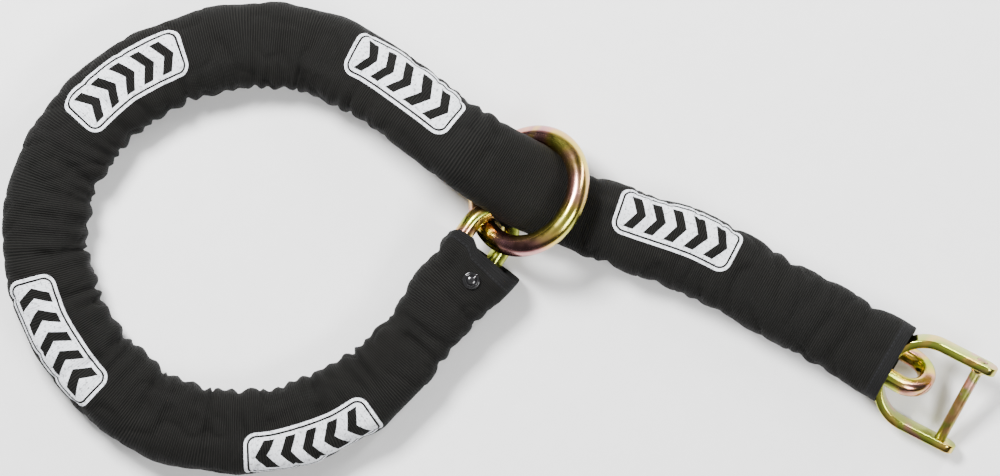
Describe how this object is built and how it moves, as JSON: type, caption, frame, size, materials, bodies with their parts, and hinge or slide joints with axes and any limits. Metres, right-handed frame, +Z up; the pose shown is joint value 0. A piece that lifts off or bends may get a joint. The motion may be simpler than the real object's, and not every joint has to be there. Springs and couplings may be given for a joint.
{
  "type": "noose chain lock",
  "caption": "Square-bar security chain in a fabric sleeve, with a ring that makes a noose at one end and a flat-strap shackle with a cross pin at the other.",
  "frame": {"origin": "centre of the box of the whole object as it lies, on the surface it lies on", "axes": "+X from the noose to the shackle, +Z up from the surface, +Y to the left of +X"},
  "size_m": [0.7052, 0.3328, 0.0674],
  "materials": {
    "yellow_plate": "yellow passivated zinc plate with green and pink iridescence, semi-gloss",
    "sleeve_cloth": "black ribbed woven nylon tube",
    "snap_black": "gloss black enamel"
  },
  "bodies": {
    "chain_01": {"link_01": "yellow_plate", "sleeve_01": "sleeve_cloth", "snap_cap": "snap_black"},
    "chain_02": {"link_02": "yellow_plate", "sleeve_02": "sleeve_cloth"},
    "chain_03": {"link_03": "yellow_plate", "sleeve_03": "sleeve_cloth"},
    "chain_04": {"link_04": "yellow_plate", "sleeve_04": "sleeve_cloth"},
    "chain_05": {"link_05": "yellow_plate", "sleeve_05": "sleeve_cloth"},
    "chain_06": {"link_06": "yellow_plate", "sleeve_06": "sleeve_cloth"},
    "chain_07": {"link_07": "yellow_plate", "sleeve_07": "sleeve_cloth"},
    "chain_08": {"link_08": "yellow_plate", "sleeve_08": "sleeve_cloth"},
    "chain_09": {"link_09": "yellow_plate", "sleeve_09": "sleeve_cloth"},
    "chain_10": {"link_10": "yellow_plate", "sleeve_10": "sleeve_cloth"},
    "chain_11": {"link_11": "yellow_plate", "sleeve_11": "sleeve_cloth"},
    "chain_12": {"link_12": "yellow_plate", "sleeve_12": "sleeve_cloth"},
    "chain_13": {"link_13": "yellow_plate", "sleeve_13": "sleeve_cloth"},
    "chain_14": {"link_14": "yellow_plate", "sleeve_14": "sleeve_cloth"},
    "chain_15": {"link_15": "yellow_plate", "sleeve_15": "sleeve_cloth"},
    "chain_16": {"link_16": "yellow_plate", "sleeve_16": "sleeve_cloth"},
    "chain_17": {"link_17": "yellow_plate", "sleeve_17": "sleeve_cloth"},
    "chain_18": {"link_18": "yellow_plate", "sleeve_18": "sleeve_cloth"},
    "chain_19": {"link_19": "yellow_plate", "sleeve_19": "sleeve_cloth"},
    "chain_20": {"link_20": "yellow_plate", "sleeve_20": "sleeve_cloth"},
    "chain_21": {"link_21": "yellow_plate", "sleeve_21": "sleeve_cloth"},
    "chain_22": {"link_22": "yellow_plate", "sleeve_22": "sleeve_cloth"},
    "chain_23": {"link_23": "yellow_plate", "sleeve_23": "sleeve_cloth"},
    "chain_24": {"link_24": "yellow_plate", "sleeve_24": "sleeve_cloth"},
    "chain_25": {"link_25": "yellow_plate", "sleeve_25": "sleeve_cloth"},
    "chain_26": {"link_26": "yellow_plate", "sleeve_26": "sleeve_cloth"},
    "chain_27": {"link_27": "yellow_plate", "sleeve_27": "sleeve_cloth"},
    "ring": {"ring": "yellow_plate"},
    "shackle": {"shackle_strap": "yellow_plate", "shackle_pin": "yellow_plate"}
  },
  "joints": [
    {"name": "bend_20_21", "type": "hinge", "parent": "chain_21", "child": "chain_20", "pos_m": [0.01287, 0.04054, 0.03372], "axis": [0, 0, 1], "range_deg": [-8, 7], "deforming": ["sleeve_20"]},
    {"name": "bend_19_20", "type": "hinge", "parent": "chain_20", "child": "chain_19", "pos_m": [-0.02398, 0.06298, 0.04753], "axis": [0, 0, 1], "range_deg": [-2, 8], "deforming": ["sleeve_19"]},
    {"name": "bend_18_19", "type": "hinge", "parent": "chain_19", "child": "chain_18", "pos_m": [-0.0596, 0.09036, 0.0417], "axis": [0, 0, 1], "range_deg": [-8, 8], "deforming": ["sleeve_18"]},
    {"name": "bend_17_18", "type": "hinge", "parent": "chain_18", "child": "chain_17", "pos_m": [-0.09484, 0.11523, 0.02788], "axis": [0, 0, 1], "range_deg": [-8, 8], "deforming": ["sleeve_17"]},
    {"name": "bend_16_17", "type": "hinge", "parent": "chain_17", "child": "chain_16", "pos_m": [-0.13553, 0.1334, 0.01973], "axis": [0, 0, 1], "range_deg": [-8, 4.5], "deforming": ["sleeve_16"]},
    {"name": "bend_15_16", "type": "hinge", "parent": "chain_16", "child": "chain_15", "pos_m": [-0.18068, 0.13709, 0.01937], "axis": [0, 0, 1], "range_deg": [-8.56, 9.79], "deforming": ["sleeve_15"]},
    {"name": "bend_14_15", "type": "hinge", "parent": "chain_15", "child": "chain_14", "pos_m": [-0.2248, 0.12682, 0.01937], "axis": [0, 0, 1], "range_deg": [-8.4, 2.11], "deforming": ["sleeve_14"]},
    {"name": "bend_13_14", "type": "hinge", "parent": "chain_14", "child": "chain_13", "pos_m": [-0.26521, 0.10635, 0.01937], "axis": [0, 0, 1], "range_deg": [-7.64, 7.64], "deforming": ["sleeve_13"]},
    {"name": "bend_12_13", "type": "hinge", "parent": "chain_13", "child": "chain_12", "pos_m": [-0.29795, 0.07504, 0.01937], "axis": [0, 0, 1], "range_deg": [-7.3, 7.3], "deforming": ["sleeve_12"]},
    {"name": "bend_11_12", "type": "hinge", "parent": "chain_12", "child": "chain_11", "pos_m": [-0.31866, 0.03475, 0.01937], "axis": [0, 0, 1], "range_deg": [-4.27, 7.58], "deforming": ["sleeve_11"]},
    {"name": "bend_10_11", "type": "hinge", "parent": "chain_11", "child": "chain_10", "pos_m": [-0.32323, -0.01032, 0.01937], "axis": [0, 0, 1], "range_deg": [-9.93, 8.69], "deforming": ["sleeve_10"]},
    {"name": "bend_09_10", "type": "hinge", "parent": "chain_10", "child": "chain_09", "pos_m": [-0.31069, -0.05385, 0.01937], "axis": [0, 0, 1], "range_deg": [-2.18, 8.69], "deforming": ["sleeve_09"]},
    {"name": "bend_08_09", "type": "hinge", "parent": "chain_09", "child": "chain_08", "pos_m": [-0.28616, -0.09193, 0.01937], "axis": [0, 0, 1], "range_deg": [-7.79, 7.79], "deforming": ["sleeve_08"]},
    {"name": "bend_07_08", "type": "hinge", "parent": "chain_08", "child": "chain_07", "pos_m": [-0.25213, -0.12184, 0.01937], "axis": [0, 0, 1], "range_deg": [-7.33, 7.33], "deforming": ["sleeve_07"]},
    {"name": "bend_06_07", "type": "hinge", "parent": "chain_07", "child": "chain_06", "pos_m": [-0.20948, -0.1371, 0.01937], "axis": [0, 0, 1], "range_deg": [-7.41, 4.17], "deforming": ["sleeve_06"]},
    {"name": "bend_05_06", "type": "hinge", "parent": "chain_06", "child": "chain_05", "pos_m": [-0.16418, -0.13733, 0.01937], "axis": [0, 0, 1], "range_deg": [-7.13, 8.15], "deforming": ["sleeve_05"]},
    {"name": "bend_04_05", "type": "hinge", "parent": "chain_05", "child": "chain_04", "pos_m": [-0.12091, -0.12394, 0.01937], "axis": [0, 0, 1], "range_deg": [-8.3, 2.08], "deforming": ["sleeve_04"]},
    {"name": "bend_03_04", "type": "hinge", "parent": "chain_04", "child": "chain_03", "pos_m": [-0.08337, -0.09857, 0.01937], "axis": [0, 0, 1], "range_deg": [-8.16, 8.16], "deforming": ["sleeve_03"]},
    {"name": "bend_02_03", "type": "hinge", "parent": "chain_03", "child": "chain_02", "pos_m": [-0.05357, -0.06445, 0.01979], "axis": [0, 0, 1], "range_deg": [-8.03, 8.03], "deforming": ["sleeve_02"]},
    {"name": "bend_01_02", "type": "hinge", "parent": "chain_02", "child": "chain_01", "pos_m": [-0.02848, -0.02683, 0.02239], "axis": [0, 0, 1], "range_deg": [-4.42, 7.84], "deforming": ["sleeve_01"]},
    {"name": "bend_21_22", "type": "hinge", "parent": "chain_21", "child": "chain_22", "pos_m": [0.05087, 0.01995, 0.02016], "axis": [0, 0, 1], "range_deg": [-15, 6], "deforming": ["sleeve_22", "sleeve_21"]},
    {"name": "bend_22_23", "type": "hinge", "parent": "chain_22", "child": "chain_23", "pos_m": [0.09354, 0.00475, 0.01937], "axis": [0, 0, 1], "range_deg": [-20, 20], "deforming": ["sleeve_23"]},
    {"name": "bend_23_24", "type": "hinge", "parent": "chain_23", "child": "chain_24", "pos_m": [0.13638, -0.00997, 0.01937], "axis": [0, 0, 1], "range_deg": [-20, 20], "deforming": ["sleeve_24"]},
    {"name": "bend_24_25", "type": "hinge", "parent": "chain_24", "child": "chain_25", "pos_m": [0.17661, -0.03079, 0.01937], "axis": [0, 0, 1], "range_deg": [-20, 20], "deforming": ["sleeve_25"]},
    {"name": "bend_25_26", "type": "hinge", "parent": "chain_25", "child": "chain_26", "pos_m": [0.21606, -0.05306, 0.01937], "axis": [0, 0, 1], "range_deg": [-20, 20], "deforming": ["sleeve_26"]},
    {"name": "bend_26_27", "type": "hinge", "parent": "chain_26", "child": "chain_27", "pos_m": [0.2554, -0.07552, 0.01999], "axis": [0, 0, 1], "range_deg": [-20, 20], "deforming": ["sleeve_27"]},
    {"name": "ring_turn", "type": "hinge", "parent": "chain_01", "child": "ring", "pos_m": [0.02052, 0.03277, 0.03307], "axis": [-0.5159, 0.31, 0.7986], "continuous": true},
    {"name": "shackle_swing", "type": "hinge", "parent": "chain_27", "child": "shackle", "pos_m": [0.27495, -0.09156, 0.02077], "axis": [0, 0, 1], "range_deg": [-20, 20]}
  ],
  "couplings": [
    {"joint": "bend_15_16", "follows": "bend_20_21", "ratio": -1.2221},
    {"joint": "bend_10_11", "follows": "bend_20_21", "ratio": 1.24},
    {"joint": "bend_05_06", "follows": "bend_20_21", "ratio": -1.0179},
    {"joint": "bend_14_15", "follows": "bend_19_20", "ratio": -1.0486},
    {"joint": "bend_09_10", "follows": "bend_19_20", "ratio": 1.0847},
    {"joint": "bend_04_05", "follows": "bend_19_20", "ratio": -1.0361},
    {"joint": "bend_13_14", "follows": "bend_18_19", "ratio": -0.95345},
    {"joint": "bend_08_09", "follows": "bend_18_19", "ratio": 0.97222},
    {"joint": "bend_03_04", "follows": "bend_18_19", "ratio": -1.0188},
    {"joint": "bend_12_13", "follows": "bend_17_18", "ratio": -0.91192},
    {"joint": "bend_07_08", "follows": "bend_17_18", "ratio": 0.91453},
    {"joint": "bend_02_03", "follows": "bend_17_18", "ratio": -1.0026},
    {"joint": "bend_11_12", "follows": "bend_16_17", "ratio": -0.94583},
    {"joint": "bend_06_07", "follows": "bend_16_17", "ratio": 0.92487},
    {"joint": "bend_01_02", "follows": "bend_16_17", "ratio": -0.97904}
  ]
}
